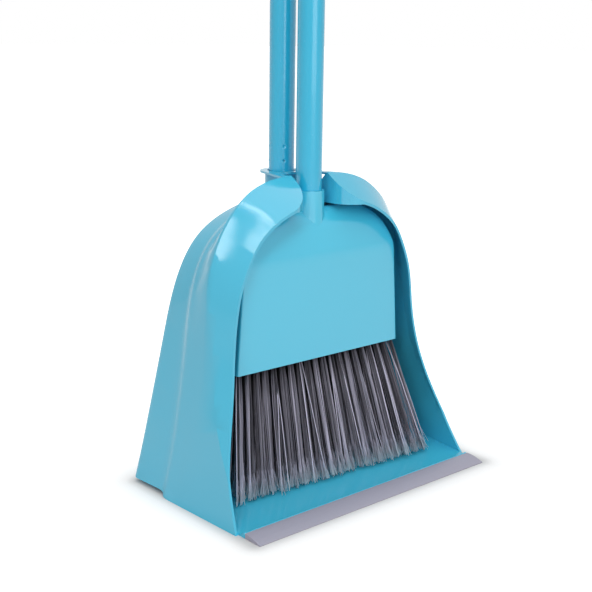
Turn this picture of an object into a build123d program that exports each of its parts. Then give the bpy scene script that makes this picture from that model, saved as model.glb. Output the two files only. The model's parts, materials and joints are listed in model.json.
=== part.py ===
"""Upright dust pan with a long-handled brush nested in its hood.

Frame: millimetres, +Z up, the pan's mouth faces -Y, X = 0 is the plane of symmetry and the
origin lies on the floor under the middle of the set. The sizes below count Y backwards from
the front edge of the lip; `write` moves each finished piece so that the pan is centred on Y.
Outlines are half outlines, given as (x, z) from the foot to the crown.
"""
from build123d import *
import os
from math import cos, hypot, pi, radians, sin

os.makedirs("parts", exist_ok=True)

# ---------------------------------------------------------------- pan: hood
pan_depth = 167.2          # front edge of the lip to the rearmost point of the bin
wall = 2.2                 # moulded wall of the hood
hood_front_y = 15.0        # hood and cap are drawn this far forward, then trimmed at the mouth
ridge_y = 95.0             # crest of the hood, behind the mouth
step_y = 113.0             # where the stepped rear bin begins
step_run = 18.0            # length of the S-shaped step
step_drop = 2.4            # how far the step draws the rear bin in
step_spans = 4
rear_lift = 4.0            # the floor of the rear bin stands this far off the ground
rear_lean = 15.0           # the rear wall leans forward by this much
rear_lean_height = 200.0   # over this height
rear_round = 7.0           # rounding round the rear wall and along the foot of the bin

socket_top = 261.5         # top of the socket for the pan's handle, level with the crest
hood_crown = socket_top + 2.4

# foot, flare, waist, shoulder, haunch, brow, crown
hood_mouth_outline = [(132.6, 0.0), (121.5, 60.0), (111.5, 130.0), (106.5, 190.0), (91.5, 226.0),
                      (59.0, 255.0), (0.0, hood_crown)]
hood_ridge_outline = [(135.4, 0.0), (121.5, 60.0), (111.5, 130.0), (106.5, 190.0), (91.5, 226.0),
                      (59.0, 255.0), (0.0, hood_crown)]
hood_step_outline = [(136.0, 0.0), (121.3, 60.0), (111.4, 130.0), (103.5, 180.0), (86.0, 213.0),
                     (52.0, 235.0), (0.0, 246.0)]
hood_rear_outline = [(139.4, 0.0), (127.4, 60.0), (112.9, 130.0), (97.4, 181.0), (76.0, 213.0),
                     (44.0, 230.5), (0.0, 237.4)]

# ---------------------------------------------------------------- pan: cap round the mouth
rim_y = 68.0
cap_back_y = 100.0
cap_rim_outline = [(147.0, 0.0), (124.0, 60.0), (110.0, 100.0), (102.0, 140.0), (95.0, 180.0),
                   (86.5, 200.0), (77.5, 214.5), (62.5, 227.5), (36.0, 239.0), (0.0, 242.5)]
cap_back_outline = [(157.0, 0.0), (136.0, 60.0), (125.0, 100.0), (117.5, 140.0), (112.0, 180.0),
                    (109.0, 200.0), (102.5, 219.0), (86.0, 243.0), (48.0, 261.5), (0.0, 264.5)]
cap_spans = 4
cap_bow = 0.5              # the cap bulges this much at the crown, halfway back
cap_wall_back = 2.0        # the cap's inner face lies this much further back
cap_wall_in = 1.2          # and this much further in than its outer face
rim_in_side_view = [(26.0, 0.0), (46.0, 40.0), (63.0, 100.0), (rim_y, 150.0)]

# ---------------------------------------------------------------- pan: floor
floor_entry = 2.0          # thickness where the dust enters
floor_rise_y = 66.0
floor_thickness = 5.0
rear_floor_thickness = 2.4
bead_radius = 2.0          # rounded bead along the front edge of the floor
foot_length = 16.0         # pads under the rear bin
foot_width = 7.0
foot_x = 92.0
foot_y = 144.0

# ---------------------------------------------------------------- pan: lip strip
lip_width = 260.0
lip_depth = 18.2
lip_height = 4.3
lip_edge = 0.9             # thickness left at the front edge
lip_bulge = 3.3            # height of the rounded top a little behind the edge
lip_bulge_y = 8.0
tongue_length = 9.0        # how far the floor's tongue reaches into the lip
tongue_thickness = 1.2
tongue_height = 1.0        # underside of the tongue above the ground
tongue_side = 4.0          # the tongue stops this far inside each end of the lip

# ---------------------------------------------------------------- handles and their plugs
tube_radius = 11.0
tube_wall = 0.5
tube_fit = 0.05            # clearance of tubes and plugs in what holds them
tube_seat_depth = 24.0     # the tube stands this deep in its socket
handle_top = 845.0         # top of both steel tubes
plug_length = 34.0         # part of the plug inside the tube
spigot_radius = 9.0
spigot_length = 30.0
spigot_end_gap = 0.4
socket_floor = 2.4

# ---------------------------------------------------------------- pan: slot and socket
slot_half = 20.0           # half width of the slot that the brush's neck stands in
slot_end_y = 100.0         # centre of the slot's round end
slot_flare = 22.0          # radius that opens the slot towards the mouth
slot_flare_y = 90.0        # where that opening begins
slot_foot = 236.0          # lower edge of the slot's side walls
socket_y = 132.6           # axis of the pan's handle
socket_radius = 14.2
socket_mouth_depth = 13.0  # wide upper bore, round the tube
socket_mouth_gap = 1.2
flange_radius = 18.4
flange_thickness = 1.8
web_x = 30.0               # where the flange's webs run into the shoulders
web_y = 97.0

# ---------------------------------------------------------------- crimps of the pan's tube
crimp_depth = 0.35
crimp_radius = 1.6
crimp_heights = (9.0, 21.2)    # above the socket's top
crimp_turn = 28.0              # first crimp, degrees from -Y towards -X
crimps_around = 4

# ---------------------------------------------------------------- grips on top of the handles
grip_wall = 1.6
grip_sleeve = 70.0         # sleeve of the grip over the tube
grip_dome = 15.0           # rounded top above the tube
grip_eye_radius = 3.6      # hanging hole
grip_eye_drop = 8.5        # centre of the hole below the very top
grip_edge = 1.0
grip_groove_radius = 1.1
grip_groove_pitch = 7.0
grip_groove_count = 6

# ---------------------------------------------------------------- clip between the handles
clip_z = 560.0             # lower face of the clip
clip_height = 22.0
clip_wall = 2.6
clip_gap = 0.35            # between the fork and the brush's handle
clip_arm = 9.0             # the fork's arms reach this far in front of that handle's axis
clip_bridge = 14.0         # width of the bridge between ring and fork
clip_edge = 1.0

# ---------------------------------------------------------------- brush: hood and ferrule
brush_y = 97.0             # axis of the brush's handle
head_middle_y = 96.0
head_foot = 107.0          # lower edge
head_top = 233.4
head_half = 91.7           # half width at the lower edge
head_shoulder_half = 85.6
head_shoulder_z = 186.0
head_crown_rise = 2.0      # the rounded corners alone would end this far above the crown
head_wall = 2.0
head_edge = 2.0            # rounding of the outer edges
# half outline in side view about the middle, as (y, z)
head_side_outline = [(20.0, 190.0), (17.5, 205.0), (13.4, 218.5), (6.8, 229.0), (0.0, head_top)]
ferrule_radius = 13.4
ferrule_top = 248.5
ferrule_mouth_depth = 12.0
ferrule_mouth_gap = 0.4

# ---------------------------------------------------------------- brush: block and bristles
block_height = 22.0
block_recess = 2.5         # the block sits this far above the hood's lower edge
tuft_rows = 4
tufts_per_row = 20
tuft_pitch = 9.0
tuft_row_pitch = 8.6
tuft_root_radius = 2.5
tuft_hole_depth = 12.0
tuft_tip_radius = 3.9
tuft_tip_z = 5.7
tuft_fan = 1.17            # the tips fan out sideways by this factor
tuft_row_fan = 1.3         # and the rows part by this one
tuft_lean = -26.0          # the tips lean forward
tuft_skew = -0.075         # and a little more towards the right
staple_wire = 0.6
staple_height = 1.8
staple_side_gap = 0.2


def write(name, shape):
    """Centre the finished piece on Y and save it."""
    export_step(Pos(0, -pan_depth / 2, 0) * shape, f"parts/{name}.step")


def upright(x, y, foot, top, radius):
    """Vertical cylinder between two heights."""
    return Pos(x, y, foot) * Cylinder(radius, top - foot, align=(Align.CENTER, Align.CENTER, Align.MIN))


def block(x_half, y_from, y_to, z_from, z_to):
    """Box that is symmetrical in X."""
    middle = Pos(0, (y_from + y_to) / 2, (z_from + z_to) / 2)
    return middle * Box(2 * x_half, y_to - y_from, z_to - z_from)


# ---------------------------------------------------------------- outlines and prisms
def across(half, y):
    """Closed face in the plane across the pan at depth y: a smooth arch on a straight sill."""
    full = half + [(-x, z) for x, z in reversed(half[:-1])]
    points = [Vector(x, y, z) for x, z in full]
    return make_face([Spline(*points), Line(points[-1], points[0])])


def inset(half, depth):
    """Half outline drawn in by `depth`, square to itself; its foot stays on the ground."""
    moved = [(half[0][0] - depth, half[0][1])]
    for before, point, after in zip(half, half[1:], half[2:]):
        dx, dz = after[0] - before[0], after[1] - before[1]
        length = hypot(dx, dz)
        moved.append((point[0] - depth * dz / length, point[1] + depth * dx / length))
    moved.append((0.0, half[-1][1] - depth))
    return moved


def blend(first, second, share):
    """Outline a share of the way from the first to the second, or beyond either."""
    return [(a + (c - a) * share, b + (d - b) * share) for (a, b), (c, d) in zip(first, second)]


def side_prism(edges, half_width):
    """Prism along X from the closed chain of edges of a side view in the plane X = 0."""
    return extrude(make_face(edges), amount=half_width, dir=(1, 0, 0), both=True)


def side_chain(points):
    """Closed chain of straight edges through side view points given as (y, z)."""
    return Polyline(*[Vector(0, y, z) for y, z in points], close=True)


def step_share(i):
    """How much of the S-shaped step is done at its i-th section."""
    return (1 - cos(pi * i / step_spans)) / 2


# ---------------------------------------------------------------- the pan's hood
cutter_half = 200.0        # half width of everything that trims the pan
cutter_top = 400.0
cutter_foot = -20.0


def tunnel(depth):
    """The hood as a solid, drawn in by `depth` all round: front, crest, step and rear bin."""
    rear_y = pan_depth + 2
    mouth = across(inset(hood_mouth_outline, depth), hood_front_y)
    ridge = across(inset(hood_ridge_outline, depth), ridge_y)
    steps = []
    for i in range(step_spans + 1):
        y = step_y + step_run * i / step_spans
        outline = blend(hood_step_outline, hood_rear_outline, (y - step_y) / (rear_y - step_y))
        steps.append(across(inset(outline, depth + step_drop * step_share(i)), y))
    rear = across(inset(hood_rear_outline, depth + step_drop), rear_y)
    return (loft([mouth, ridge], ruled=True) + loft([ridge, steps[0]], ruled=True)
            + loft(steps) + loft([steps[-1], rear], ruled=True))


def cap(back, depth):
    """Everything behind the cap that closes the hood round the mouth."""
    sections = []
    for i in range(cap_spans + 1):
        share = i / cap_spans
        outline = blend(cap_rim_outline, cap_back_outline, share)
        crown = [(x, z + cap_bow * 4 * share * (1 - share)) for x, z in outline[-2:]]
        sections.append(across(inset(outline[:-2] + crown, depth), rim_y + (cap_back_y - rim_y) * share + back))
    front = blend(cap_rim_outline, cap_back_outline, (hood_front_y - rim_y) / (cap_back_y - rim_y))
    behind = block(cutter_half, cap_back_y + back, 2 * pan_depth, cutter_foot, cutter_top)
    return loft([across(inset(front, depth), hood_front_y + back), sections[0]], ruled=True) + loft(sections) + behind


def before_rear_wall(depth):
    """Everything in front of the leaning rear wall."""
    slope = rear_lean / rear_lean_height
    stretch = hypot(1, slope)
    foot_depth = pan_depth + slope * (rear_lift + rear_round) + rear_round * (stretch - 1) - depth * stretch
    return side_prism(side_chain([(0, cutter_foot), (foot_depth - slope * cutter_foot, cutter_foot),
                                  (foot_depth - slope * cutter_top, cutter_top), (0, cutter_top)]),
                      cutter_half)


def under_rear_floor():
    """What is cut away under the rear bin, along the same S-shaped step."""
    run = []
    for i in range(step_spans + 1):
        run.append(Vector(0, step_y + step_run * i / step_spans, rear_lift * step_share(i)))
    end = Vector(0, 2 * pan_depth, rear_lift)
    below = [Vector(0, 2 * pan_depth, cutter_foot), Vector(0, step_y, cutter_foot)]
    chain = [Spline(*run, tangents=[(0, 1, 0), (0, 1, 0)]), Line(run[-1], end), Line(end, below[0]),
             Line(below[0], below[1]), Line(below[1], run[0])]
    return side_prism(chain, cutter_half)


def floor_block():
    """The pan's floor with its entry ramp, as a prism across the pan."""
    rear_top = rear_lift + rear_floor_thickness
    chain = side_chain([(0, cutter_foot), (0, floor_entry), (lip_depth, floor_entry),
                        (floor_rise_y, floor_thickness), (step_y, floor_thickness),
                        (step_y + step_run, rear_top), (2 * pan_depth, rear_top),
                        (2 * pan_depth, cutter_foot)])
    return side_prism(chain, cutter_half)


def in_front_of_mouth():
    """What is cut away in front of the rim: upright above, swept forward to the lip below."""
    rim = [Vector(0, y, z) for y, z in rim_in_side_view]
    corners = [rim[-1], Vector(0, rim_y, cutter_top), Vector(0, cutter_foot, cutter_top),
               Vector(0, cutter_foot, cutter_foot), Vector(0, rim[0].Y, cutter_foot), rim[0]]
    chain = [Spline(*rim, tangents=[(0, 0.6, 1), (0, 0, 1)])]
    chain += [Line(a, b) for a, b in zip(corners, corners[1:])]
    return side_prism(chain, cutter_half)


def slot_prism(grow, foot):
    """Slot for the brush's neck: straight sides, a round end and a flare towards the mouth."""
    half = slot_half + grow
    flare = slot_flare - grow
    reach = half + flare
    front = slot_flare_y - flare
    far = front - 40
    chain = [CenterArc((0, slot_end_y, 0), half, 0, 180)]
    for side in (1, -1):
        start = 180 if side > 0 else 270
        chain.append(CenterArc((side * reach, slot_flare_y, 0), flare, start, 90))
        chain.append(Line((side * half, slot_flare_y, 0), (side * half, slot_end_y, 0)))
        chain.append(Line((side * reach, front, 0), (side * reach, far, 0)))
    chain.append(Line((-reach, far, 0), (reach, far, 0)))
    return extrude(Pos(0, 0, foot) * make_face(chain), amount=cutter_top - foot, dir=(0, 0, 1))


def flange():
    """Flange of the handle's socket, drawn out into a web to each shoulder."""
    ring = Pos(0, socket_y) * Circle(flange_radius)
    shoulders = Polyline((-web_x, web_y, 0), (web_x, web_y, 0))
    outline = make_hull(ring.edges() + shoulders.edges())
    return extrude(Pos(0, 0, socket_top - flange_thickness) * outline, amount=flange_thickness,
                   dir=(0, 0, 1))


def tube_foot(top):
    """Height of a tube's foot in a socket that ends at `top`."""
    return top - tube_seat_depth


def socket_bore(y, top, mouth_gap, mouth_depth):
    """Bore of a handle's socket: wide mouth, close seat for the tube, bore for the spigot."""
    foot = tube_foot(top)
    return (upright(0, y, top - mouth_depth, top + 1, tube_radius + mouth_gap)
            + upright(0, y, foot, top, tube_radius + tube_fit)
            + upright(0, y, foot - spigot_length - spigot_end_gap, foot, spigot_radius + tube_fit))


def socket_bottom(top):
    return tube_foot(top) - spigot_length - spigot_end_gap - socket_floor


def pan_shell():
    """Hooded pan in one moulding: floor, walls, cap, slot, handle socket, bead and tongue."""
    form = (tunnel(0) & cap(0, 0) & before_rear_wall(0)) - under_rear_floor()
    rear_face = form.faces().sort_by(Axis.Y)[-1]
    bin_foot = [edge for edge in form.edges().filter_by(GeomType.LINE)
                if edge.center().Y > step_y + step_run and edge.center().Z < 2 * rear_lift
                and abs(edge.center().X) > foot_x and edge not in rear_face.edges()]
    form = fillet(list(rear_face.edges()) + bin_foot, rear_round)
    cavity = (tunnel(wall) & cap(cap_wall_back, cap_wall_in) & before_rear_wall(wall)) - floor_block()
    shell = form - cavity
    shell += slot_prism(wall, slot_foot) & form
    shell -= in_front_of_mouth()
    shell += flange() + upright(0, socket_y, socket_bottom(socket_top), socket_top, socket_radius)
    shell -= slot_prism(0, slot_foot - wall) - upright(0, socket_y, 0, cutter_top, flange_radius)
    shell -= socket_bore(socket_y, socket_top, socket_mouth_gap, socket_mouth_depth)
    half_lip = lip_width / 2
    apron = floor_block() & block(half_lip, lip_depth, rim_in_side_view[1][0], 0, floor_thickness)
    bead = Pos(0, lip_depth + bead_radius, bead_radius) * Rot(0, 90, 0) * Cylinder(bead_radius, lip_width)
    tongue = block(half_lip - tongue_side, lip_depth - tongue_length, lip_depth + 1,
                   tongue_height, tongue_height + tongue_thickness)
    shell += apron + bead + tongue
    for side in (-1, 1):
        pad = Pos(side * foot_x, foot_y, 0) * Box(foot_width, foot_length, rear_lift + 1,
                                                  align=(Align.CENTER, Align.CENTER, Align.MIN))
        shell += pad
    return shell


def pan_lip():
    """Soft strip pushed over the floor's tongue; its rounded top runs down to a thin edge."""
    top = ThreePointArc((0, 0, lip_edge), (0, lip_bulge_y, lip_bulge), (0, lip_depth, lip_height))
    chain = [top, Line((0, lip_depth, lip_height), (0, lip_depth, 0)), Line((0, lip_depth, 0), (0, 0, 0)),
             Line((0, 0, 0), (0, 0, lip_edge))]
    strip = side_prism(chain, lip_width / 2)
    groove = block(lip_width / 2 - tongue_side, lip_depth - tongue_length, lip_depth,
                   tongue_height, tongue_height + tongue_thickness)
    return strip - groove


# ---------------------------------------------------------------- handles
def handle_tube(y, top_of_socket):
    """Thin steel tube from its seat in the socket to the grip."""
    foot = tube_foot(top_of_socket)
    return upright(0, y, foot, handle_top, tube_radius) - upright(0, y, foot - 1, handle_top + 1,
                                                                  tube_radius - tube_wall)


def crimped(tube, y, top_of_socket):
    """Rows of punched crimps that hold the plug in the tube."""
    reach = tube_radius + crimp_radius - crimp_depth
    for height in crimp_heights:
        for i in range(crimps_around):
            angle = radians(crimp_turn + 360 * i / crimps_around)
            place = Pos(-reach * sin(angle), y - reach * cos(angle), top_of_socket + height)
            tube -= place * Sphere(crimp_radius)
    return tube


def handle_plug(y, top_of_socket):
    """Plug in the tube's foot with the spigot that seats in the socket."""
    foot = tube_foot(top_of_socket)
    return (upright(0, y, foot, foot + plug_length, tube_radius - tube_wall - tube_fit)
            + upright(0, y, foot - spigot_length, foot, spigot_radius))


def handle_grip(y):
    """Moulded grip over the top of a tube: domed, grooved, with a hole to hang it by."""
    radius = tube_radius + tube_fit + grip_wall
    foot = handle_top - grip_sleeve
    body = upright(0, y, foot, handle_top, radius)
    body += Pos(0, y, handle_top) * extrude_dome(radius, grip_dome)
    body = fillet(body.edges().group_by(Axis.Z)[0], grip_edge)
    body -= upright(0, y, foot - 1, handle_top, tube_radius + tube_fit)
    eye = Pos(0, y, handle_top + grip_dome - grip_eye_drop) * Rot(90, 0, 0)
    body -= eye * Cylinder(grip_eye_radius, 4 * radius)
    for i in range(grip_groove_count):
        groove = Torus(radius + grip_groove_radius * 0.5, grip_groove_radius)
        body -= Pos(0, y, foot + grip_groove_pitch * (i + 1.5)) * groove
    return body


def extrude_dome(radius, height):
    """Half an ellipsoid standing on its round base."""
    arc = EllipticalCenterArc((0, 0, 0), radius, height, start_angle=0, arc_size=90)
    face = make_face([arc, Line((0, height, 0), (0, 0, 0)), Line((0, 0, 0), (radius, 0, 0))])
    return revolve(Rot(90, 0, 0) * face, Axis.Z)


def handle_clip():
    """Ring on the pan's handle with a fork that the brush's handle is pulled out of."""
    fork_radius = tube_radius + clip_gap
    outline = Pos(0, socket_y) * Circle(tube_radius + tube_fit + clip_wall)
    outline += Pos(0, brush_y) * Circle(fork_radius + clip_wall)
    outline += Pos(0, (socket_y + brush_y) / 2) * Rectangle(clip_bridge, socket_y - brush_y)
    outline += Pos(0, brush_y - clip_arm / 2) * Rectangle(2 * (fork_radius + clip_wall), clip_arm)
    outline -= Pos(0, socket_y) * Circle(tube_radius + tube_fit)
    outline -= Pos(0, brush_y) * Circle(fork_radius)
    outline -= Pos(0, brush_y - clip_arm) * Rectangle(2 * fork_radius, 2 * clip_arm)
    tips = [v for v in outline.vertices() if v.Y < brush_y - clip_arm + 0.1]
    outline = fillet(tips, clip_edge)
    return extrude(Pos(0, 0, clip_z) * outline, amount=clip_height, dir=(0, 0, 1))


# ---------------------------------------------------------------- brush
def head_form(depth, foot):
    """The brush's hood as a solid, drawn in by `depth`, down to `foot`."""
    slope = (head_half - head_shoulder_half) / (head_shoulder_z - head_foot)
    half_foot = head_half - depth + slope * (head_foot - foot)
    half_shoulder = head_shoulder_half - depth
    crown_z = head_top + head_crown_rise - depth
    corner = crown_z - head_shoulder_z
    crown = [(half_foot, foot), (half_shoulder, head_shoulder_z), (half_shoulder - corner, crown_z)]
    chain = []
    for side in (1, -1):
        a, b, c = [Vector(side * x, 0, z) for x, z in crown]
        middle = Vector(side * (half_shoulder - corner * (1 - cos(pi / 4))), 0,
                        head_shoulder_z + corner * sin(pi / 4))
        chain += [Line(a, b), ThreePointArc(b, middle, c)]
    left, right = Vector(-crown[2][0], 0, crown[2][1]), Vector(crown[2][0], 0, crown[2][1])
    chain += [Line(left, right), Line((-half_foot, 0, foot), (half_foot, 0, foot))]
    front_view = extrude(make_face(chain), amount=cutter_top, dir=(0, 1, 0))
    side = inset(head_side_outline, depth)
    half_foot = side[0][0]
    full = [(half_foot, foot)] + side + [(-y, z) for y, z in reversed(side[:-1])] + [(-half_foot, foot)]
    points = [Vector(0, head_middle_y + y, z) for y, z in full]
    chain = [Spline(*points[1:-1], tangents=[(0, 0, 1), (0, 0, -1)]), Line(points[-2], points[-1]),
             Line(points[-1], points[0]), Line(points[0], points[1])]
    return front_view & side_prism(chain, cutter_half)


def brush_hood():
    """Moulded hood over the bristles with the ferrule that takes the handle."""
    form = head_form(0, head_foot)
    rims = [edge for edge in form.edges().filter_by(GeomType.LINE)
            if abs(edge.center().X) > head_shoulder_half
            and abs(edge.center().Y - head_middle_y) > head_edge]
    form = fillet(rims, head_edge)
    hood = form - head_form(head_wall, head_foot - 10)
    hood += upright(0, brush_y, socket_bottom(ferrule_top), ferrule_top, ferrule_radius)
    hood -= socket_bore(brush_y, ferrule_top, ferrule_mouth_gap, ferrule_mouth_depth)
    return hood


def tuft_places(row):
    """Root positions of one row; every other row is shifted by half a pitch."""
    count = tufts_per_row - row % 2
    y = head_middle_y + (row - (tuft_rows - 1) / 2) * tuft_row_pitch
    return [((i - (count - 1) / 2) * tuft_pitch, y) for i in range(count)]


def tuft(x, y):
    """One tuft: straight in its hole, then fanning out to its cut tip."""
    face_z = head_foot + block_recess
    tip_x = x * tuft_fan
    tip_y = head_middle_y + (y - head_middle_y) * tuft_row_fan + tuft_lean + tuft_skew * x
    root = upright(x, y, face_z, face_z + tuft_hole_depth - staple_height, tuft_root_radius)
    fan = loft([Pos(x, y, face_z) * Circle(tuft_root_radius),
                Pos(tip_x, tip_y, tuft_tip_z) * Circle(tuft_tip_radius)], ruled=True)
    return root + fan


def bristle_block():
    """Block that fills the mouth of the brush's hood, drilled for the tufts."""
    foot = head_foot + block_recess
    body = head_form(head_wall, foot) & block(cutter_half, 0, cutter_top, foot, foot + block_height)
    holes = [upright(x, y, foot - 1, foot + tuft_hole_depth, tuft_root_radius)
             for row in range(tuft_rows) for x, y in tuft_places(row)]
    return body - holes


def tuft_staples():
    """Flat wire anchors that pin each folded tuft at the end of its hole."""
    top = head_foot + block_recess + tuft_hole_depth
    width = 2 * (tuft_root_radius - staple_side_gap)
    return [Pos(x, y, top - staple_height / 2) * Box(width, staple_wire, staple_height)
            for row in range(tuft_rows) for x, y in tuft_places(row)]


write("pan_shell", pan_shell())
write("pan_lip", pan_lip())
write("pan_handle_tube", crimped(handle_tube(socket_y, socket_top), socket_y, socket_top))
write("pan_handle_plug", handle_plug(socket_y, socket_top))
write("pan_handle_grip", handle_grip(socket_y))
write("handle_clip", handle_clip())
write("brush_hood", brush_hood())
write("bristle_block", bristle_block())
for row in range(tuft_rows):
    write(f"bristle_row_{row + 1}", Compound(children=[tuft(x, y) for x, y in tuft_places(row)]))
write("tuft_staples", Compound(children=tuft_staples()))
write("brush_handle_tube", handle_tube(brush_y, ferrule_top))
write("brush_handle_plug", handle_plug(brush_y, ferrule_top))
write("brush_handle_grip", handle_grip(brush_y))
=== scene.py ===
"""Upright dust pan and long-handled brush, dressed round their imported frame.

The pan's mouth faces -Y, the handles rise along +Z and everything is in metres. Moulded and
bent pieces start from merged copies of their solids and get rounded edges; the tubes, with
their punched crimps, and the bristles are modelled here.
"""
import json
import logging
import math
import random
from dataclasses import dataclass, field
from enum import Enum

import bmesh
import bpy
from mathutils import Matrix, Vector

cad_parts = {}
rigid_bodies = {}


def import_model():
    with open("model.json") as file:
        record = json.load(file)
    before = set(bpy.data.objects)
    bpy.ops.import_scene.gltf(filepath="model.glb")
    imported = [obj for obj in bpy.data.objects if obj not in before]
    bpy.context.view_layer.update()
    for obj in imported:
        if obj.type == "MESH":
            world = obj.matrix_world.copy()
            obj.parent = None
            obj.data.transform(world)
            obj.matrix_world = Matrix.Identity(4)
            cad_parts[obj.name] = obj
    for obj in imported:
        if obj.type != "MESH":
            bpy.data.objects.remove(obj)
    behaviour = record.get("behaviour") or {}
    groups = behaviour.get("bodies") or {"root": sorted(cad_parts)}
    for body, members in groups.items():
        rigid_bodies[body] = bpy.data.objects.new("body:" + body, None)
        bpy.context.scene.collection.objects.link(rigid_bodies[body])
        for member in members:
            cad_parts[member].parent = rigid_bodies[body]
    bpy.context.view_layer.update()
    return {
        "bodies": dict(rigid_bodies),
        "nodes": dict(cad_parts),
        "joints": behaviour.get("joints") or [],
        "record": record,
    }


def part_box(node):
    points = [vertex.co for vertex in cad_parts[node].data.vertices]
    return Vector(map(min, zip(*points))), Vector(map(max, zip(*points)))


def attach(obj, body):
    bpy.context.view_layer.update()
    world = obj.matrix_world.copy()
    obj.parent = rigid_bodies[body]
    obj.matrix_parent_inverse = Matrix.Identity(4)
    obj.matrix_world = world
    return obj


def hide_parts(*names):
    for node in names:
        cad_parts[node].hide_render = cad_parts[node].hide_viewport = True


log = logging.getLogger("dust_pan_set")

MM = 0.001

# moulded skin: noise scales are in cycles per metre
CLOUD_SCALE = 9.0            # slow drift of the dye
WIPE_SCALE = 38.0            # uneven gloss
STREAK_STRETCH = (120.0, 120.0, 9.0)
STREAK_SHARE = 0.35
CLOUD_IN_HEIGHT = 2.0
PLASTIC_IOR = 1.49
BUMP_DISTANCE = 0.0004

# hairline scuffs
SCUFF_TURN = (0.4, 0.9, 0.3)
SCUFF_STRETCH = (1.0, 14.0, 1.6)
SCUFF_PATCHES = 17.0
SCUFF_THRESHOLD = 0.70
SCUFF_ROUGHNESS = 0.5

# filaments: shares of the length, and factors on the filament's own shade
# the filament's root colour is a painted shadow of the block, fading into the shaft colour by this
# share
SHADOW_END = 0.30            # the block's shadow on the roots ends here
PALE_START = 0.85            # the pale end starts here
PALE_PER_SHADE = 1.2
# per-strand lightness range: partly random tone, partly painted glint on the bright strands and
# painted shade between strands
DARKEST_TONE_AND_SHADE, LIGHTEST_TONE_AND_GLINT = 0.04, 3.4
FILAMENT_ROUGHNESS = 0.5
ROUGHNESS_PER_SHADE = 0.2
FILAMENT_SPECULAR = 0.15


class Body(str, Enum):
    """The two rigid bodies of the set."""

    PAN = "pan"
    BRUSH = "brush"


class Slot(str, Enum):
    """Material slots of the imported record."""

    PAN = "pan_moulding"
    LIP = "lip_rubber"
    STEEL = "coated_steel"
    PLUG = "plug_plastic"
    GRIP = "grip_plastic"
    BRUSH = "brush_moulding"
    BLOCK = "block_plastic"
    BRISTLE = "bristle_filament"
    STAPLE = "staple_wire"


# ------------------------------------------------------------------ shader groups
def srgb(red: int, green: int, blue: int) -> tuple[float, float, float, float]:
    """Linear colour with alpha 1 from 8-bit display values.

    Args:
        red: Red, 0 to 255.
        green: Green, 0 to 255.
        blue: Blue, 0 to 255.

    Returns:
        Red, green, blue and alpha, each 0 to 1.
    """
    channels = []
    for value in (red, green, blue):
        share = value / 255
        channels.append(share / 12.92 if share <= 0.04045 else ((share + 0.055) / 1.055) ** 2.4)
    return (channels[0], channels[1], channels[2], 1.0)


class GroupBuilder:
    """Helper that lays out one shader node group.

    Args:
        name: Name of the group.
        inputs: Socket name, socket type and default value, in order.
        outputs: Socket name and socket type, in order.
    """

    def __init__(self, name: str, inputs: list[tuple], outputs: list[tuple]) -> None:
        """Make the group with its sockets and its two end nodes."""
        self.tree = bpy.data.node_groups.new(name, "ShaderNodeTree")
        for title, kind, value in inputs:
            socket = self.tree.interface.new_socket(title, in_out="INPUT", socket_type=kind)
            socket.default_value = value
        for title, kind in outputs:
            self.tree.interface.new_socket(title, in_out="OUTPUT", socket_type=kind)
        self.source = self.tree.nodes.new("NodeGroupInput")
        self.sink = self.tree.nodes.new("NodeGroupOutput")

    def node(self, kind: str, **settings: object) -> bpy.types.Node:
        """New node of a kind, with its properties set.

        Args:
            kind: Type name of the node.
            **settings: Its properties.

        Returns:
            The node.
        """
        made = self.tree.nodes.new(kind)
        for key, value in settings.items():
            setattr(made, key, value)
        return made

    def link(self, output: bpy.types.NodeSocket, target: bpy.types.NodeSocket) -> None:
        """Wire an output to an input."""
        self.tree.links.new(output, target)

    def math(self, operation: str, first: object, second: object) -> bpy.types.NodeSocket:
        """Math node on two sockets or numbers.

        Args:
            operation: Name of the operation.
            first: Socket or number.
            second: Socket or number.

        Returns:
            The result socket.
        """
        made = self.node("ShaderNodeMath", operation=operation)
        for place, value in zip(made.inputs, (first, second)):
            if isinstance(value, (int, float)):
                place.default_value = value
            else:
                self.link(value, place)
        return made.outputs[0]

    def noise(self, vector: bpy.types.NodeSocket, scale: object,
              detail: float) -> bpy.types.NodeSocket:
        """Noise texture's value on the given coordinates.

        Args:
            vector: Coordinates.
            scale: Socket or number.
            detail: Detail of the noise.

        Returns:
            The value socket.
        """
        made = self.node("ShaderNodeTexNoise")
        made.inputs["Detail"].default_value = detail
        self.link(vector, made.inputs["Vector"])
        if isinstance(scale, (int, float)):
            made.inputs["Scale"].default_value = scale
        else:
            self.link(scale, made.inputs["Scale"])
        return made.outputs["Fac"]

    def tint(self, share: bpy.types.NodeSocket, first: object,
             second: object) -> bpy.types.NodeSocket:
        """Colour mix of two sockets or colours by a share.

        Args:
            share: Factor socket.
            first: Colour or socket at 0.
            second: Colour or socket at 1.

        Returns:
            The colour socket.
        """
        made = self.node("ShaderNodeMix", data_type="RGBA")
        self.link(share, made.inputs["Factor"])
        for place, value in ((made.inputs[6], first), (made.inputs[7], second)):
            if isinstance(value, tuple):
                place.default_value = value
            else:
                self.link(value, place)
        return made.outputs[2]


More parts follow.
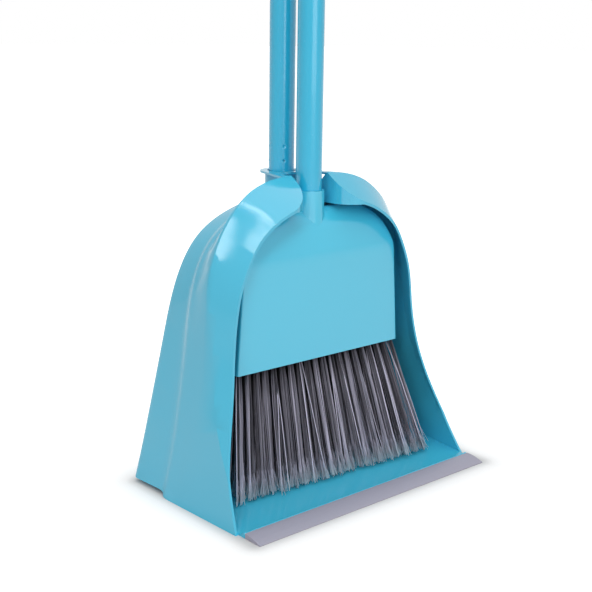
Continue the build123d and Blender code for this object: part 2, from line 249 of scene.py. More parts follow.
def moulded_skin_group() -> bpy.types.ShaderNodeTree:
    """Skin of a moulding: slow drift of the dye, faint flow streaks and the tool's fine grain.

    Returns:
        The node group.
    """
    g = GroupBuilder("moulded_skin",
                     [("Dye", "NodeSocketColor", (0.3, 0.6, 0.8, 1)),
                      ("Shade", "NodeSocketColor", (0.2, 0.5, 0.7, 1)),
                      ("Drift", "NodeSocketFloat", 0.2), ("Gloss", "NodeSocketFloat", 0.3),
                      ("Unevenness", "NodeSocketFloat", 0.06), ("Grain", "NodeSocketFloat", 900.0)],
                     [("Color", "NodeSocketColor"), ("Roughness", "NodeSocketFloat"),
                      ("Height", "NodeSocketFloat")])
    place = g.node("ShaderNodeTexCoord").outputs["Object"]
    cloud = g.noise(place, CLOUD_SCALE, 3.0)
    stretch = g.node("ShaderNodeMapping")
    stretch.inputs["Scale"].default_value = STREAK_STRETCH
    g.link(place, stretch.inputs["Vector"])
    streak = g.noise(stretch.outputs["Vector"], 1.0, 2.0)
    mottle = g.math("ADD", cloud, g.math("MULTIPLY", streak, STREAK_SHARE))
    drift = g.math("MULTIPLY", mottle, g.source.outputs["Drift"])
    dyed = g.tint(drift, g.source.outputs["Dye"], g.source.outputs["Shade"])
    g.link(dyed, g.sink.inputs["Color"])
    wipe = g.noise(place, WIPE_SCALE, 4.0)
    swing = g.math("MULTIPLY", g.math("SUBTRACT", wipe, 0.5), g.source.outputs["Unevenness"])
    g.link(g.math("ADD", g.source.outputs["Gloss"], swing), g.sink.inputs["Roughness"])
    grain = g.noise(place, g.source.outputs["Grain"], 2.0)
    height = g.math("ADD", grain, g.math("MULTIPLY", cloud, CLOUD_IN_HEIGHT))
    g.link(height, g.sink.inputs["Height"])
    return g.tree


def scuff_group() -> bpy.types.ShaderNodeTree:
    """Sparse hairline scuffs as a mask for the roughness.

    Returns:
        The node group.
    """
    g = GroupBuilder("hairline_scuffs",
                     [("Scale", "NodeSocketFloat", 60.0), ("Amount", "NodeSocketFloat", 0.1)],
                     [("Mask", "NodeSocketFloat")])
    place = g.node("ShaderNodeTexCoord").outputs["Object"]
    turn = g.node("ShaderNodeMapping")
    turn.inputs["Rotation"].default_value = SCUFF_TURN
    turn.inputs["Scale"].default_value = SCUFF_STRETCH
    g.link(place, turn.inputs["Vector"])
    lines = g.noise(turn.outputs["Vector"], g.source.outputs["Scale"], 3.0)
    sparse = g.noise(place, SCUFF_PATCHES, 1.0)
    peak = g.math("GREATER_THAN", lines, SCUFF_THRESHOLD)
    mask = g.math("MULTIPLY", g.math("MULTIPLY", peak, sparse), g.source.outputs["Amount"])
    g.link(mask, g.sink.inputs["Mask"])
    return g.tree


@dataclass
class ShaderGroups:
    """The node groups that several finishes share."""

    skin: bpy.types.ShaderNodeTree = field(default_factory=moulded_skin_group)
    scuffs: bpy.types.ShaderNodeTree = field(default_factory=scuff_group)


# ------------------------------------------------------------------ finishes
class Surface:
    """One material with its Principled shader.

    Args:
        name: Name of the material.
    """

    def __init__(self, name: str) -> None:
        """Make the material."""
        self.material = bpy.data.materials.new(name)
        self.material.use_nodes = True
        self.nodes = self.material.node_tree.nodes
        self.links = self.material.node_tree.links
        self.shader = self.nodes["Principled BSDF"]

    def group(self, tree: bpy.types.ShaderNodeTree, **values: object) -> bpy.types.Node:
        """Place a node group and set its inputs.

        Args:
            tree: The node group.
            **values: Values of its inputs, by name.

        Returns:
            The group node.
        """
        made = self.nodes.new("ShaderNodeGroup")
        made.node_tree = tree
        for key, value in values.items():
            made.inputs[key].default_value = value
        return made

    def bump(self, height: bpy.types.NodeSocket, strength: float, distance: float) -> None:
        """Bump from a height socket.

        Args:
            height: Height socket.
            strength: Strength, 0 to 1.
            distance: Height of the full range, in metres.
        """
        made = self.nodes.new("ShaderNodeBump")
        made.inputs["Strength"].default_value = strength
        made.inputs["Distance"].default_value = distance
        self.links.new(height, made.inputs["Height"])
        self.links.new(made.outputs["Normal"], self.shader.inputs["Normal"])


@dataclass(frozen=True)
class MouldedPlastic:
    """Dyed polypropylene straight from the tool."""

    name: str
    dye: tuple[int, int, int]
    shade: tuple[int, int, int]
    gloss: float = 0.26
    unevenness: float = 0.07
    drift: float = 0.22
    grain: float = 900.0
    grain_depth: float = 0.05
    coat: float = 0.0
    scuffs: float = 0.25
    specular: float = 0.5
    coat_roughness: float = 0.08

    def material(self, groups: ShaderGroups) -> bpy.types.Material:
        """Build the material.

        Args:
            groups: The shared node groups.

        Returns:
            The material.
        """
        surface = Surface(self.name)
        skin = surface.group(groups.skin, Dye=srgb(*self.dye), Shade=srgb(*self.shade),
                             Drift=self.drift, Gloss=self.gloss, Unevenness=self.unevenness,
                             Grain=self.grain)
        scuffs = surface.group(groups.scuffs, Amount=self.scuffs)
        rough = surface.nodes.new("ShaderNodeMath")
        rough.operation = "MULTIPLY_ADD"
        surface.links.new(scuffs.outputs["Mask"], rough.inputs[0])
        rough.inputs[1].default_value = SCUFF_ROUGHNESS
        surface.links.new(skin.outputs["Roughness"], rough.inputs[2])
        surface.links.new(skin.outputs["Color"], surface.shader.inputs["Base Color"])
        surface.links.new(rough.outputs[0], surface.shader.inputs["Roughness"])
        surface.shader.inputs["IOR"].default_value = PLASTIC_IOR
        surface.shader.inputs["Specular IOR Level"].default_value = self.specular
        surface.shader.inputs["Coat Weight"].default_value = self.coat
        surface.shader.inputs["Coat Roughness"].default_value = self.coat_roughness
        surface.bump(skin.outputs["Height"], self.grain_depth, BUMP_DISTANCE)
        return surface.material


def filament_group() -> bpy.types.ShaderNodeTree:
    """Colour of a filament from its own shade and from how far along it the point lies, with a
    painted shadow of the block at the root; the shade attribute also carries painted glints and
    painted shade between strands.

    Returns:
        The node group.
    """
    g = GroupBuilder("filament_tone",
                     [("Root", "NodeSocketColor", (0.02, 0.02, 0.02, 1)),
                      ("Shaft", "NodeSocketColor", (0.1, 0.1, 0.1, 1)),
                      ("Tip", "NodeSocketColor", (0.5, 0.5, 0.5, 1))],
                     [("Color", "NodeSocketColor"), ("Roughness", "NodeSocketFloat")])
    along = g.node("ShaderNodeAttribute", attribute_name="along").outputs["Fac"]
    shade = g.node("ShaderNodeAttribute", attribute_name="shade").outputs["Fac"]
    # painted shadow of the block: the root colour fades into the shaft colour over the first share
    # of the length
    low = g.node("ShaderNodeMapRange")
    low.inputs["From Max"].default_value = SHADOW_END
    g.link(along, low.inputs["Value"])
    shaft = g.tint(low.outputs["Result"], g.source.outputs["Root"], g.source.outputs["Shaft"])
    high = g.node("ShaderNodeMapRange")
    high.inputs["From Min"].default_value = PALE_START
    g.link(along, high.inputs["Value"])
    pale = g.math("MULTIPLY", high.outputs["Result"], g.math("MULTIPLY", shade, PALE_PER_SHADE))
    # the strand's shade sets its lightness: random tone with painted glint and painted shade
    # between strands
    tone_shade_and_glint = g.node("ShaderNodeMapRange")
    tone_shade_and_glint.inputs["To Min"].default_value = DARKEST_TONE_AND_SHADE
    tone_shade_and_glint.inputs["To Max"].default_value = LIGHTEST_TONE_AND_GLINT
    g.link(shade, tone_shade_and_glint.inputs["Value"])
    varied = g.node("ShaderNodeHueSaturation")
    g.link(tone_shade_and_glint.outputs["Result"], varied.inputs["Value"])
    g.link(shaft, varied.inputs["Color"])
    tone = g.tint(pale, varied.outputs["Color"], g.source.outputs["Tip"])
    g.link(tone, g.sink.inputs["Color"])
    rough = g.math("ADD", g.math("MULTIPLY", shade, ROUGHNESS_PER_SHADE), FILAMENT_ROUGHNESS)
    g.link(rough, g.sink.inputs["Roughness"])
    return g.tree


@dataclass(frozen=True)
class Filament:
    """Plastic filament, dark in the shaft and pale where the ends are flagged, with a painted
    shadow of the block at its roots.
    """

    name: str
    # painted shadow of the block on the roots
    root: tuple[int, int, int] = (24, 24, 28)
    shaft: tuple[int, int, int] = (124, 122, 134)
    tip: tuple[int, int, int] = (244, 240, 242)

    def material(self, tone: bpy.types.ShaderNodeTree) -> bpy.types.Material:
        """Build the material.

        Args:
            tone: The filament's node group.

        Returns:
            The material.
        """
        surface = Surface(self.name)
        made = surface.group(tone, Root=srgb(*self.root), Shaft=srgb(*self.shaft),
                             Tip=srgb(*self.tip))
        surface.links.new(made.outputs["Color"], surface.shader.inputs["Base Color"])
        surface.links.new(made.outputs["Roughness"], surface.shader.inputs["Roughness"])
        surface.shader.inputs["Specular IOR Level"].default_value = FILAMENT_SPECULAR
        return surface.material


@dataclass
class Finishes:
    """Every finish of the set, built once."""

    groups: ShaderGroups
    made: dict[Slot, bpy.types.Material] = field(default_factory=dict)

    def __post_init__(self) -> None:
        """Build the materials."""
        kinds = {
            Slot.PAN: MouldedPlastic("pan_turquoise", (70, 190, 222), (60, 182, 216), gloss=0.08,
                                     unevenness=0.03, grain_depth=0.015, scuffs=0.08, specular=0.6),
            Slot.BRUSH: MouldedPlastic("brush_turquoise", (72, 198, 229), (60, 190, 223),
                                       gloss=0.22, unevenness=0.03, drift=0.12, scuffs=0.04,
                                       specular=0.9),
            Slot.GRIP: MouldedPlastic("grip_turquoise", (50, 182, 212), (36, 168, 202), gloss=0.24),
            Slot.STEEL: MouldedPlastic("coated_tube", (44, 184, 220), (31, 173, 213), gloss=0.26,
                                       unevenness=0.05, grain=420.0, grain_depth=0.10, coat=0.35),
            Slot.PLUG: MouldedPlastic("plug_turquoise", (40, 120, 150), (30, 104, 134), gloss=0.45),
            Slot.BLOCK: MouldedPlastic("block_turquoise", (44, 128, 156), (34, 110, 140),
                                       gloss=0.45),
            Slot.LIP: MouldedPlastic("lip_grey", (166, 164, 180), (156, 153, 170), gloss=0.48,
                                     unevenness=0.10, grain=1500.0, grain_depth=0.12, scuffs=0.5),
            Slot.STAPLE: MouldedPlastic("staple_wire", (190, 190, 190), (165, 165, 165), gloss=0.3),
        }
        for slot, finish in kinds.items():
            self.made[slot] = finish.material(self.groups)
        wire = self.made[Slot.STAPLE].node_tree.nodes["Principled BSDF"]
        wire.inputs["Metallic"].default_value = 1.0
        self.made[Slot.BRISTLE] = Filament("bristle_grey").material(filament_group())

    def dress(self, piece: bpy.types.Object, slot: Slot) -> None:
        """Give a piece the finish of a slot."""
        piece.data.materials.clear()
        piece.data.materials.append(self.made[slot])


# ------------------------------------------------------------------ mesh helpers
def piece_from(bm: bmesh.types.BMesh, name: str) -> bpy.types.Object:
    """Turn a bmesh into a linked object at the origin and free the bmesh.

    Args:
        bm: The mesh.
        name: Name of the object.

    Returns:
        The object.
    """
    mesh = bpy.data.meshes.new(name)
    bm.to_mesh(mesh)
    bm.free()
    made = bpy.data.objects.new(name, mesh)
    bpy.context.scene.collection.objects.link(made)
    return made


def shade(piece: bpy.types.Object, angle: float) -> None:
    """Smooth shading with edges sharper than an angle, in degrees, left crisp."""
    piece.data.shade_smooth()
    piece.data.set_sharp_from_angle(angle=math.radians(angle))


def grow(bm: bmesh.types.BMesh, ring: list[bmesh.types.BMEdge]) -> tuple[list, list]:
    """Extrude a ring of edges in place.

    Args:
        bm: The mesh.
        ring: Edges of the ring.

    Returns:
        The points and the edges of the new ring.
    """
    grown = bmesh.ops.extrude_edge_only(bm, edges=ring)["geom"]
    verts = [item for item in grown if isinstance(item, bmesh.types.BMVert)]
    edges = [item for item in grown if isinstance(item, bmesh.types.BMEdge)
             and all(vert in verts for vert in item.verts)]
    return verts, edges


@dataclass
class RoundedCopy:
    """Merged copy of a solid with its sharp edges rounded.

    Args:
        node: CAD node that the copy replaces.
        name: Name of the new piece.
        radius: Radius of the rounding, in millimetres.
        sharp: Angle above which an edge is rounded, in degrees.
        segments: Faces across the rounding.
        smooth: Angle above which an edge stays crisp in the shading, in degrees.
        merge: Distance within which points are joined, in metres.
    """

    node: str
    name: str
    radius: float = 0.5
    sharp: float = 30.0
    segments: int = 2
    smooth: float = 15.0
    merge: float = 2e-6

    def build(self, frame: dict) -> bpy.types.Object:
        """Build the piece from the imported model's node.

        Args:
            frame: The loaded frame.

        Returns:
            The piece.
        """
        bm = bmesh.new()
        bm.from_mesh(frame["nodes"][self.node].data)
        bmesh.ops.remove_doubles(bm, verts=bm.verts[:], dist=self.merge)
        bmesh.ops.dissolve_degenerate(bm, edges=bm.edges[:], dist=self.merge)
        made = piece_from(bm, self.name)
        shade(made, self.smooth)
        rounding = made.modifiers.new("rounding", "BEVEL")
        rounding.width = self.radius * MM
        rounding.segments = self.segments
        rounding.limit_method = "ANGLE"
        rounding.angle_limit = math.radians(self.sharp)
        rounding.harden_normals = True
        return made


class Dresser:
    """Adds finished pieces to the set: finish, body, replaced nodes and slot in one place."""

    def __init__(self, frame: dict, finishes: Finishes) -> None:
        """Keep the frame and the finishes at hand."""
        self.frame = frame
        self.finishes = finishes

    def add(self, piece: bpy.types.Object, body: Body, slot: Slot, replaced: str) -> None:
        """Dress a piece and hang it on its body.

        Args:
            piece: The finished piece.
            body: Body that it rides on.
            slot: Material slot that it takes its finish from.
            replaced: CAD node that it stands for.
        """
        self.finishes.dress(piece, slot)
        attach(piece, body.value)
        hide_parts(replaced)
        log.info("%s: %d faces on %s", piece.name, len(piece.data.polygons), body.value)

    def keep(self, node: str, slot: Slot) -> None:
        """Show a CAD node as it is, in a finish."""
        self.finishes.dress(self.frame["nodes"][node], slot)
        log.info("%s: kept from the frame", node)


# ------------------------------------------------------------------ handles
@dataclass
class CoatedTube:
    """Thin coated steel tube, with the crimps that hold its plug.

    Args:
        node: CAD node of the tube.
        name: Name of the new piece.
        body: Body that it rides on.
        crimp_heights: Heights of the crimps' centres, in metres.
    """

    node: str
    name: str
    body: Body
    crimp_heights: tuple[float, ...] = ()
    radius: float = 11.0 * MM
    wall: float = 0.5 * MM
    crimp_turn: float = 28.0
    crimps_around: int = 4
    crimp_depth: float = 0.8 * MM
    crimp_reach: float = 1.8 * MM
    sides: int = 144
    foot_band: float = 0.3 * MM
    plain_rings: int = 24
    crimp_rings: int = 5
    crimp_ring_gap: float = 0.45 * MM
    crisp_above: float = 60.0

    def heights(self, foot: float, top: float) -> list[float]:
        """Heights of the rings: wide apart on the plain run, close together at the crimps.

        Args:
            foot: Height of the tube's foot, in metres.
            top: Height of its top, in metres.

        Returns:
            The heights, from the foot up.
        """
        levels = {foot, foot + self.foot_band, top}
        levels.update(foot + (top - foot) * i / self.plain_rings for i in range(self.plain_rings))
        for crimp in self.crimp_heights:
            levels.update(crimp + self.crimp_ring_gap * i
                          for i in range(-self.crimp_rings, self.crimp_rings + 1))
        return sorted(levels)

    def dent(self, x: float, y: float, z: float) -> float:
        """How far a point of the wall is pushed in.

        Args:
            x: Place across, from the tube's axis, in metres.
            y: Place front to back, from the axis, in metres.
            z: Height, in metres.

        Returns:
            The depth, in metres.
        """
        deepest = 0.0
        angle = math.degrees(math.atan2(-x, -y))
        for crimp in self.crimp_heights:
            for i in range(self.crimps_around):
                turn = (angle - self.crimp_turn - 360 * i / self.crimps_around + 180) % 360 - 180
                away = math.hypot(math.radians(turn) * self.radius, z - crimp) / self.crimp_reach
                if away < 1:
                    deepest = max(deepest, self.crimp_depth * (1 - away * away) ** 2)
        return deepest

    def build(self, dresser: Dresser) -> None:
        """Draw the wall up ring by ring, push the crimps in and thicken it.

        Args:
            dresser: What the tube is added through.
        """
        low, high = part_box(self.node)
        centre = Vector(((low.x + high.x) / 2, (low.y + high.y) / 2, 0))
        levels = self.heights(low.z, high.z)
        bm = bmesh.new()
        foot = Matrix.Translation(centre + Vector((0, 0, levels[0])))
        bmesh.ops.create_circle(bm, segments=self.sides, radius=self.radius, matrix=foot)
        ring = bm.edges[:]
        for below, level in zip(levels, levels[1:]):
            verts, ring = grow(bm, ring)
            bmesh.ops.translate(bm, verts=verts, vec=(0, 0, level - below))
        for vert in bm.verts:
            out = Vector((vert.co.x - centre.x, vert.co.y - centre.y, 0))
            vert.co -= out.normalized() * self.dent(out.x, out.y, vert.co.z)
        bmesh.ops.recalc_face_normals(bm, faces=bm.faces[:])
        piece = piece_from(bm, self.name)
        shade(piece, self.crisp_above)
        thicken = piece.modifiers.new("wall", "SOLIDIFY")
        thicken.thickness = self.wall
        thicken.offset = -1
        dresser.add(piece, self.body, Slot.STEEL, self.node)


# ------------------------------------------------------------------ bristles
@dataclass
class BristleRow:
    """One row of tufts: each a bundle of fine filaments that fan out and end in flagged tips.

    Args:
        number: Row, counted from the front.
        seed: Seed of the row's random draws.
    """

    number: int
    seed: int
    tufts: int = 20
    pitch: float = 9.0 * MM
    row_pitch: float = 8.6 * MM
    middle_y: float = 0.0
    root_z: float = 0.0
    root_radius: float = 2.0 * MM
    sunk: float = 5.0 * MM
    tip_z: float = 5.9 * MM
    tip_radius: float = 4.4 * MM
    bundles: int = 6
    bundle_draw: float = 0.8
    bundle_tone: float = 0.8
    # painted shade that darkens the roots of the rows behind the front one
    painted_root_shade: float = 0.0
    fan: float = 1.17
    row_fan: float = 1.3
    lean: float = -26.0 * MM
    skew: float = -0.075
    strands: int = 36
    flags: int = 2
    stray_share: float = 0.05
    thickness: float = 0.35 * MM
    taper: float = 0.15
    rings: int = 6
    tip_scatter: tuple[float, float] = (0.9 * MM, 0.7 * MM)
    knot_reach: tuple[float, float] = (0.35, 1.0)
    knot_darkness: float = 1.5
    strand_darkness: float = 1.7
    painted_shadow_fade: float = 0.6
    uneven_length: float = 3.2 * MM
    strand_scatter: float = 0.8 * MM
    strand_bow: tuple[float, float] = (0.6 * MM, 0.5 * MM)
    bulge: float = 0.5            # in millimetres
    stray_throw: tuple[float, float] = (1.6, 2.6)
    stray_side: tuple[float, float] = (2, 6)   # in millimetres
    stray_thickness: float = 1.5
    flag_scatter: tuple[float, float] = (1.5 * MM, 1.3 * MM)
    flag_rise: tuple[float, float] = (-0.1, 2.0)   # in millimetres
    flag_thickness: tuple[float, float] = (0.8, 0.6)
    flag_start: float = 0.8
    flag_base: tuple[float, float] = (0.0, 0.5)
    middle_row: float = 1.5

    def strand(self, bm: bmesh.types.BMesh, path: list[Vector], radii: list[float]) -> None:
        """One three-sided filament along a path.

        Args:
            bm: Mesh that it is added to.
            path: Points of its centre line.
            radii: Radius at each point, in metres.
        """
        third_turn = 2.1
        start = Matrix.Translation(path[0]) @ Matrix.Rotation(random.uniform(0, third_turn), 4, "Z")
        made = bmesh.ops.create_circle(bm, segments=3, radius=radii[0], cap_ends=False,
                                       matrix=start)
        ring = list({edge for vert in made["verts"] for edge in vert.link_edges})
        for before, point, old, new in zip(path, path[1:], radii, radii[1:]):
            verts, ring = grow(bm, ring)
            for vert in verts:
                vert.co = point + (vert.co - before) * (new / old)
        bmesh.ops.holes_fill(bm, edges=ring, sides=3)

    def tuft(self, x: float, y: float) -> bmesh.types.BMesh:
        """One tuft, in a mesh of its own.

        Args:
            x: Place of its root across, in metres.
            y: Place of its root front to back, in metres.

        Returns:
            The mesh.
        """
        bm = bmesh.new()
        tone = bm.verts.layers.float.new("shade")
        travel = bm.verts.layers.float.new("along")
        tip_x = x * self.fan
        tip_y = self.middle_y + (y - self.middle_y) * self.row_fan + self.lean + self.skew * x
        tip_x += random.gauss(0, self.tip_scatter[0])
        tip_y += random.gauss(0, self.tip_scatter[1])
        knots = [Vector((math.cos(turn), math.sin(turn), 0)) * random.uniform(*self.knot_reach)
                 for turn in (random.uniform(0, 2 * math.pi) for _ in range(self.bundles))]
        tones = [random.random() ** self.knot_darkness for _ in knots]
        for _ in range(self.strands):
            share, turn = math.sqrt(random.random()), random.uniform(0, 2 * math.pi)
            out = Vector((math.cos(turn) * share, math.sin(turn) * share, 0))
            root = Vector((x, y, self.root_z + self.sunk)) + out * self.root_radius
            bundle = min(range(self.bundles), key=lambda i: (knots[i] - out).length)
            drawn = out.lerp(knots[bundle], self.bundle_draw) * self.tip_radius
            stray = random.random() < self.stray_share
            if stray:
                drawn *= random.uniform(*self.stray_throw)
                drawn.x += random.choice((-1, 1)) * random.uniform(*self.stray_side) * MM
            level = self.tip_z + random.uniform(0, self.uneven_length)
            tip = Vector((tip_x, tip_y, level)) + drawn
            tip.x += random.gauss(0, self.strand_scatter)
            bow = Vector((random.gauss(0, self.strand_bow[0]),
                          random.gauss(0, self.strand_bow[1]), 0))
            # random tone per strand, skewed so that a few bright strands and strays act as painted
            # glints among darker ones
            colour = 1.0
            if not stray:
                own = random.random() ** self.strand_darkness
                colour = self.bundle_tone * tones[bundle] + (1 - self.bundle_tone) * own
            points = []
            for i in range(self.rings):
                t = i / (self.rings - 1)
                bend = bow * math.sin(math.pi * t)
                belly = out * self.bulge * MM * math.sin(2 * math.pi * t)
                points.append(root.lerp(tip, t) + bend + belly)
            first = len(bm.verts)
            thick = self.thickness * (self.stray_thickness if stray else 1.0)
            radii = [thick * (1 - self.taper * i / (self.rings - 1)) for i in range(self.rings)]
            self.strand(bm, points, radii)
            bm.verts.ensure_lookup_table()
            length = root.z - tip.z
            for vert in bm.verts[first:]:
                share = min(max((root.z - vert.co.z) / length, 0), 1)
                # the strand's tone is darkened towards the root by the row's painted shade
                vert[tone] = colour * (1 - self.painted_root_shade * (1 - share) ** self.painted_shadow_fade)
                vert[travel] = share
            for _ in range(self.flags):
                base = points[-2].lerp(points[-1], random.uniform(*self.flag_base))
                end = points[-1] + Vector((random.gauss(0, self.flag_scatter[0]),
                                           random.gauss(0, self.flag_scatter[1]),
                                           random.uniform(*self.flag_rise) * MM))
                end.z = max(end.z, self.tip_z)
                first = len(bm.verts)
                self.strand(bm, [base, end],
                            [self.thickness * part for part in self.flag_thickness])
                bm.verts.ensure_lookup_table()
                for vert in bm.verts[first:]:
                    vert[tone] = 0.5 + colour / 2
                    down = (base.z - vert.co.z) / max(base.z - end.z, MM)
                    vert[travel] = self.flag_start + (1 - self.flag_start) * down
        return bm

    def build(self, dresser: Dresser) -> None:
        """Build every tuft of the row and join them.

        Args:
            dresser: What the row is added through.
        """
        random.seed(self.seed)
        row = self.number - 1
        count = self.tufts - row % 2
        y = self.middle_y + (row - self.middle_row) * self.row_pitch
        whole = bmesh.new()
        whole.verts.layers.float.new("shade")
        whole.verts.layers.float.new("along")
        scratch = bpy.data.meshes.new("tuft")
        for i in range(count):
            bm = self.tuft((i - (count - 1) / 2) * self.pitch, y)
            bm.to_mesh(scratch)
            bm.free()
            whole.from_mesh(scratch)
            scratch.clear_geometry()
        bpy.data.meshes.remove(scratch)
        bmesh.ops.recalc_face_normals(whole, faces=whole.faces[:])
        piece = piece_from(whole, f"bristles_{self.number}")
        piece.data.shade_smooth()
        dresser.add(piece, Body.BRUSH, Slot.BRISTLE, f"bristle_row_{self.number}")


# ------------------------------------------------------------------ the two sub-assemblies
@dataclass
class Pan:
    """Hooded pan with its lip, handle, grip and the clip for the brush."""

    crimps_above_socket: tuple[float, ...] = (9.0 * MM, 21.2 * MM)
    socket_above_foot: float = 24 * MM
    step_y: float = 29.4 * MM
    step_run: float = 18.0 * MM
    step_squeeze: float = 0.78

    def crisp_step(self, shell: bpy.types.Object) -> None:
        """Squeeze the S-shaped step of the side walls, so that its middle stands out as a band.

        It moves every point of the shell between these places front to back, by up to 2.2 mm.
        That takes in the front half of the tube's socket too, which it bends out of round.

        Args:
            shell: The rounded copy of the shell.
        """
        for vert in shell.data.vertices:
            share = (vert.co.y - self.step_y) / self.step_run
            if 0 < share < 1:
                wave = self.step_squeeze * math.sin(2 * math.pi * share) / (2 * math.pi)
                vert.co.y += wave * self.step_run

    def build(self, dresser: Dresser) -> None:
        """Build every piece of the pan.

        Args:
            dresser: What the pieces are added through.
        """
        shell = RoundedCopy("pan_shell", "pan_hood", radius=0.45).build(dresser.frame)
        self.crisp_step(shell)
        dresser.add(shell, Body.PAN, Slot.PAN, "pan_shell")
        lip = RoundedCopy("pan_lip", "lip_strip", radius=0.35).build(dresser.frame)
        dresser.add(lip, Body.PAN, Slot.LIP, "pan_lip")
        socket_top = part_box("pan_handle_tube")[0].z + self.socket_above_foot
        CoatedTube("pan_handle_tube", "pan_tube", Body.PAN,
                   tuple(socket_top + rise for rise in self.crimps_above_socket)).build(dresser)
        grip = RoundedCopy("pan_handle_grip", "pan_grip", radius=0.3).build(dresser.frame)
        dresser.add(grip, Body.PAN, Slot.GRIP, "pan_handle_grip")
        clip = RoundedCopy("handle_clip", "clip", radius=0.5).build(dresser.frame)
        dresser.add(clip, Body.PAN, Slot.GRIP, "handle_clip")
        dresser.keep("pan_handle_plug", Slot.PLUG)


@dataclass
class Brush:
    """Brush head with its hood, block, bristles, handle and grip."""

    rows: int = 4
    seed: int = 11
    # painted shade on the roots of every row behind the front one
    back_rows_painted_shade: float = 0.95

    def build(self, dresser: Dresser) -> None:
        """Build every piece of the brush.

        Args:
            dresser: What the pieces are added through.
        """
        hood = RoundedCopy("brush_hood", "head", radius=0.4).build(dresser.frame)
        dresser.add(hood, Body.BRUSH, Slot.BRUSH, "brush_hood")
        low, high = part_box("bristle_block")
        for row in range(1, self.rows + 1):
            BristleRow(row, self.seed + row, middle_y=(low.y + high.y) / 2, root_z=low.z,
                       painted_root_shade=0.0 if row == 1 else self.back_rows_painted_shade).build(dresser)
        CoatedTube("brush_handle_tube", "brush_tube", Body.BRUSH).build(dresser)
        grip = RoundedCopy("brush_handle_grip", "brush_grip", radius=0.3).build(dresser.frame)
        dresser.add(grip, Body.BRUSH, Slot.GRIP, "brush_handle_grip")
        dresser.keep("brush_handle_plug", Slot.PLUG)
        dresser.keep("bristle_block", Slot.BLOCK)
        dresser.keep("tuft_staples", Slot.STAPLE)


# ------------------------------------------------------------------ studio
@dataclass(frozen=True)
class SoftBox:
    """One rectangular area lamp.

    Args:
        name: Name of the lamp.
        place: Its centre, in metres.
        aim: Point that it faces.
        size: Width and height, in metres.
        power: Power in watts.
        roll: Turn about its own axis, in degrees.
    """

    name: str
    place: tuple[float, float, float]
    aim: tuple[float, float, float]
    size: tuple[float, float]
    power: float
    roll: float = 0.0

    def build(self) -> None:
        """Add the lamp."""
        lamp = bpy.data.lights.new(self.name, "AREA")
        lamp.shape = "RECTANGLE"
        lamp.size, lamp.size_y = self.size
        lamp.energy = self.power
        made = bpy.data.objects.new(self.name, lamp)
        made.location = self.place
        facing = (Vector(self.aim) - Vector(self.place)).to_track_quat("-Z", "Y").to_matrix()
        made.rotation_euler = (facing @ Matrix.Rotation(math.radians(self.roll), 3, "Z")).to_euler()
        bpy.context.scene.collection.objects.link(made)


def seen_rays(tree: bpy.types.ShaderNodeTree) -> bpy.types.NodeSocket:
    """Output that is 1 for the camera's own rays and for those that a gloss or a glass sends on.

    Args:
        tree: Node tree that the nodes are added to.

    Returns:
        The socket.
    """
    path = tree.nodes.new("ShaderNodeLightPath")
    seen = path.outputs["Is Camera Ray"]
    for ray in ("Is Glossy Ray", "Is Transmission Ray"):
        either = tree.nodes.new("ShaderNodeMath")
        either.operation = "MAXIMUM"
        tree.links.new(seen, either.inputs[0])
        tree.links.new(path.outputs[ray], either.inputs[1])
        seen = either.outputs[0]
    return seen


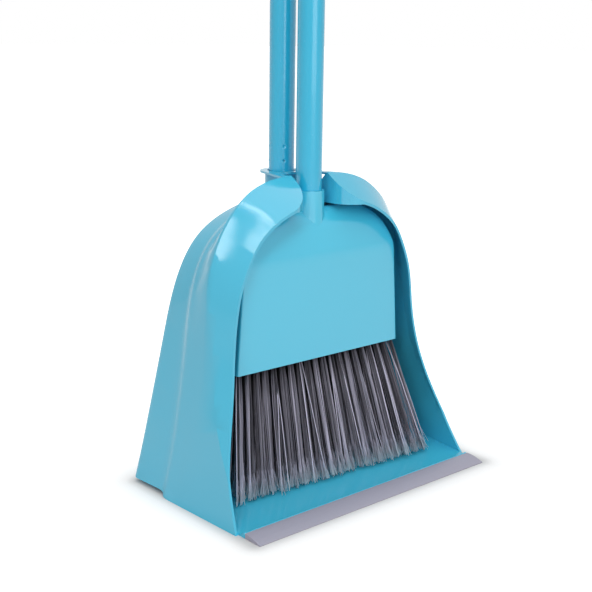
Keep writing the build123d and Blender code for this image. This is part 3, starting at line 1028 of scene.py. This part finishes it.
@dataclass
class Studio:
    """Pale floor, pale surroundings, soft boxes and the camera."""

    camera_place: tuple[float, float, float] = (-0.5989, -0.6570, 0.3741)
    camera_turn: float = -41.18
    camera_pitch: float = 13.62
    camera_roll: float = 0.77
    lens: float = 65.31
    floor_size: float = 30.0
    footprint: tuple[float, float, float] = (0.130, 0.078, 0.0)
    # distance from the footprint in metres, and how strongly the floor glows there; the weaker glow
    # near the footprint is a painted contact shadow
    floor_glow_and_painted_shadow: tuple[tuple[float, float], ...] = ((0.002, 0.0), (0.014, 0.42), (0.05, 0.76),
                                                   (0.25, 1.0))
    floor_shade: float = 0.62
    floor_roughness: float = 0.9
    sky: float = 0.34
    soft_boxes: tuple[SoftBox, ...] = (
        SoftBox("key", (-1.62, -1.01, 1.47), (-0.09, 0.0, 0.21), (0.42, 1.75), 15.0, roll=-32.0),
        SoftBox("strip", (-0.795, -0.622, 1.752), (-0.075, -0.012, 0.222), (0.03, 1.5), 1.3,
                roll=-36.5),
        SoftBox("front", (-0.3, -1.9, 0.7), (0, 0, 0.15), (1.4, 1.0), 12.5),
        SoftBox("top", (0.1, 0.1, 2.1), (0, 0, 0), (1.8, 1.8), 14.0),
    )

    def camera(self) -> None:
        """Add the camera and make it the scene's own."""
        turn, pitch, roll = (math.radians(angle) for angle in
                             (self.camera_turn, self.camera_pitch, self.camera_roll))
        right = Vector((math.cos(turn), math.sin(turn), 0))
        back = Vector((math.sin(turn) * math.cos(pitch), -math.cos(turn) * math.cos(pitch),
                       math.sin(pitch)))
        up = back.cross(right)
        across = right * math.cos(roll) + up * math.sin(roll)
        upward = up * math.cos(roll) - right * math.sin(roll)
        pose = Matrix((across, upward, back)).transposed().to_4x4()
        pose.translation = Vector(self.camera_place)
        data = bpy.data.cameras.new("camera")
        data.sensor_width = 36.0
        data.lens = self.lens
        made = bpy.data.objects.new("camera", data)
        made.matrix_world = pose
        bpy.context.scene.collection.objects.link(made)
        bpy.context.scene.camera = made

    def floor(self) -> None:
        """Add the pale floor, which shows white and keeps the shadow, with a painted contact shadow
        where its glow falls off near the footprint.
        """
        bm = bmesh.new()
        bmesh.ops.create_grid(bm, x_segments=1, y_segments=1, size=self.floor_size)
        made = piece_from(bm, "floor")
        surface = Surface("pale_floor")
        surface.shader.inputs["Base Color"].default_value = (*(self.floor_shade,) * 3, 1)
        surface.shader.inputs["Roughness"].default_value = self.floor_roughness
        surface.shader.inputs["Specular IOR Level"].default_value = 0.0
        away = surface.nodes.new("ShaderNodeTexCoord").outputs["Object"]
        for operation, operand in (("ABSOLUTE", None), ("SUBTRACT", self.footprint),
                                   ("MAXIMUM", (0.0, 0.0, 0.0)), ("LENGTH", None)):
            step = surface.nodes.new("ShaderNodeVectorMath")
            step.operation = operation
            surface.links.new(away, step.inputs[0])
            if operand:
                step.inputs[1].default_value = operand
            away = step.outputs["Value" if operation == "LENGTH" else "Vector"]
        # the glow falls off near the object's footprint as a painted contact shadow
        level = surface.nodes.new("ShaderNodeValToRGB")
        level.color_ramp.elements.remove(level.color_ramp.elements[-1])
        for distance, share in self.floor_glow_and_painted_shadow:
            stop = level.color_ramp.elements.new(distance)
            stop.color = (share, share, share, 1)
        level.color_ramp.elements.remove(level.color_ramp.elements[0])
        surface.links.new(away, level.inputs["Fac"])
        glow = surface.nodes.new("ShaderNodeMath")
        glow.operation = "MULTIPLY"
        surface.links.new(level.outputs["Color"], glow.inputs[1])
        surface.links.new(seen_rays(surface.material.node_tree), glow.inputs[0])
        surface.shader.inputs["Emission Color"].default_value = (1, 1, 1, 1)
        surface.links.new(glow.outputs[0], surface.shader.inputs["Emission Strength"])
        made.data.materials.append(surface.material)

    def world(self) -> None:
        """Light from all round, white where it is seen."""
        world = bpy.data.worlds.new("studio")
        world.use_nodes = True
        nodes, links = world.node_tree.nodes, world.node_tree.links
        back = nodes["Background"]
        back.inputs["Color"].default_value = (1, 1, 1, 1)
        strength = nodes.new("ShaderNodeMapRange")
        strength.inputs["To Min"].default_value = self.sky
        strength.inputs["To Max"].default_value = 1.0
        links.new(seen_rays(world.node_tree), strength.inputs["Value"])
        links.new(strength.outputs["Result"], back.inputs["Strength"])
        bpy.context.scene.world = world

    def build(self) -> None:
        """Set the whole studio up."""
        self.floor()
        self.world()
        for box in self.soft_boxes:
            box.build()
        self.camera()
        bpy.context.scene.view_settings.view_transform = "Standard"


def main() -> None:
    """Build the set, dress it and light it."""
    logging.basicConfig(level=logging.INFO, format="%(name)s: %(message)s")
    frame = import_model()
    dresser = Dresser(frame, Finishes(ShaderGroups()))
    for assembly in (Pan(), Brush()):
        assembly.build(dresser)
    Studio().build()


if __name__ == "__main__":
    main()
